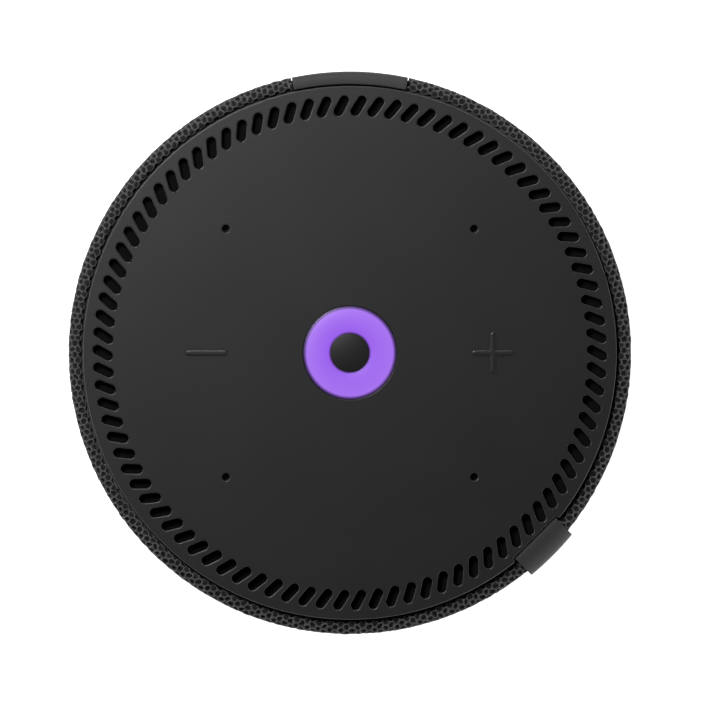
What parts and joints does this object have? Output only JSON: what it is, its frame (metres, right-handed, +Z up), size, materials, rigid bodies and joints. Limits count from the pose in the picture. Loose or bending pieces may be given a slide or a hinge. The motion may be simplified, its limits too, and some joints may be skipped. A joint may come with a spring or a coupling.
{
  "type": "smart home hub",
  "caption": "Round smart home hub with a fabric side, a flat touch panel with slotted rim, a light ring, volume marks, a rear strip and a side tag.",
  "frame": {"origin": "centre of the foot ring's underside, where the hub stands on the table", "axes": "+Z up through the top panel; the rear connector strip faces +Y, the front faces -Y, and the plus mark is on the +X side"},
  "size_m": [0.098, 0.098, 0.0563],
  "materials": {
    "panel_plastic": "fine satin",
    "light_diffuser": "translucent, lit from below",
    "mask_plastic": "fine satin",
    "acoustic_mesh": "woven black mesh",
    "flex_film": "amber flexible film",
    "white_plastic": "white, matt",
    "lamp_package": "white package with a yellow lens",
    "board_laminate": "green solder mask",
    "sensor_can": "pressed can",
    "soft_foam": "closed-cell foam",
    "inner_plastic": "moulded, fine texture",
    "sleeve_fabric": "knitted hexagon mesh",
    "strip_plastic": "smooth satin",
    "tag_rubber": "matt silicone",
    "slider_plastic": "satin",
    "switch_metal": "pressed can",
    "socket_steel": "drawn steel",
    "socket_plastic": "moulded",
    "base_plastic": "fine texture",
    "foot_rubber": "matt silicone",
    "screw_steel": "zinc plated",
    "shield_metal": "tin plated",
    "pad_silicone": "soft silicone",
    "spreader_aluminium": "rolled sheet",
    "chip_plastic": "moulded",
    "coil_ferrite": "moulded ferrite",
    "capacitor_can": "drawn can",
    "connector_plastic": "moulded, natural",
    "chip_ceramic": "fired ceramic",
    "aerial_flex": "copper on film",
    "cable_black": "thin coaxial cable",
    "lead_insulation": "red insulation",
    "box_plastic": "moulded",
    "basket_steel": "black paint",
    "magnet_ferrite": "sintered ferrite",
    "magnet_steel": "zinc plated",
    "coil_copper": "enamelled copper wire",
    "cone_paper": "pressed paper",
    "roll_rubber": "soft butyl rubber",
    "spider_cloth": "resin-stiffened cloth",
    "radiator_plastic": "moulded",
    "weight_steel": "plated steel"
  },
  "bodies": {
    "hub": {"top_panel": "panel_plastic", "light_window": "light_diffuser", "window_mask": "mask_plastic", "slot_mesh": "acoustic_mesh", "touch_film": "flex_film", "light_shroud": "white_plastic", "ring_leds": "lamp_package", "touch_board": "board_laminate", "microphones": "sensor_can", "mic_gaskets": "soft_foam", "top_carrier": "inner_plastic", "sound_deflector": "inner_plastic", "fabric_sleeve": "sleeve_fabric", "side_frame": "inner_plastic", "rear_panel": "strip_plastic", "side_tag": "tag_rubber", "mute_switch": "switch_metal", "rear_board": "board_laminate", "usb_socket_shell": "socket_steel", "usb_socket_tongue": "socket_plastic", "base_cover": "base_plastic", "foot_ring": "foot_rubber", "base_screws": "screw_steel", "main_board": "board_laminate", "processor_shield": "shield_metal", "thermal_pad": "pad_silicone", "heat_spreader": "spreader_aluminium", "radio_module": "shield_metal", "board_chips": "chip_plastic", "power_coils": "coil_ferrite", "power_capacitors": "capacitor_can", "board_connectors": "connector_plastic", "board_small_parts": "chip_ceramic", "small_screws": "screw_steel", "touch_cable": "flex_film", "antennas": "aerial_flex", "antenna_cables": "cable_black", "speaker_leads": "lead_insulation", "speaker_box": "box_plastic", "box_gasket": "soft_foam", "baffle": "box_plastic", "speaker_screws": "screw_steel", "driver_basket": "basket_steel", "driver_magnet": "magnet_ferrite", "driver_top_plate": "magnet_steel", "driver_yoke": "magnet_steel", "driver_surround": "roll_rubber", "driver_spider": "spider_cloth", "radiator_frames": "box_plastic", "left_radiator_surround": "roll_rubber", "right_radiator_surround": "roll_rubber"},
    "driver_moving": {"driver_cone": "cone_paper", "dust_cap": "cone_paper", "voice_coil": "coil_copper"},
    "left_radiator_moving": {"left_radiator_plate": "radiator_plastic", "left_radiator_weight": "weight_steel"},
    "right_radiator_moving": {"right_radiator_plate": "radiator_plastic", "right_radiator_weight": "weight_steel"},
    "slider": {"mute_slider": "slider_plastic"}
  },
  "joints": [
    {"name": "cone_travel", "type": "slide", "parent": "hub", "child": "driver_moving", "axis": [0, 0, 1], "range_m": [-0.002, 0.002], "stiffness_N_per_m": 900, "deforming": ["driver_surround", "driver_spider"]},
    {"name": "left_radiator_travel", "type": "slide", "parent": "hub", "child": "left_radiator_moving", "axis": [-1, 0, 0], "range_m": [-0.002, 0.002], "stiffness_N_per_m": 350, "deforming": ["left_radiator_surround"]},
    {"name": "right_radiator_travel", "type": "slide", "parent": "hub", "child": "right_radiator_moving", "axis": [1, 0, 0], "range_m": [-0.002, 0.002], "stiffness_N_per_m": 350, "deforming": ["right_radiator_surround"]},
    {"name": "mute_travel", "type": "slide", "parent": "hub", "child": "slider", "axis": [1, 0, 0], "range_m": [0, 0.0025]}
  ]
}
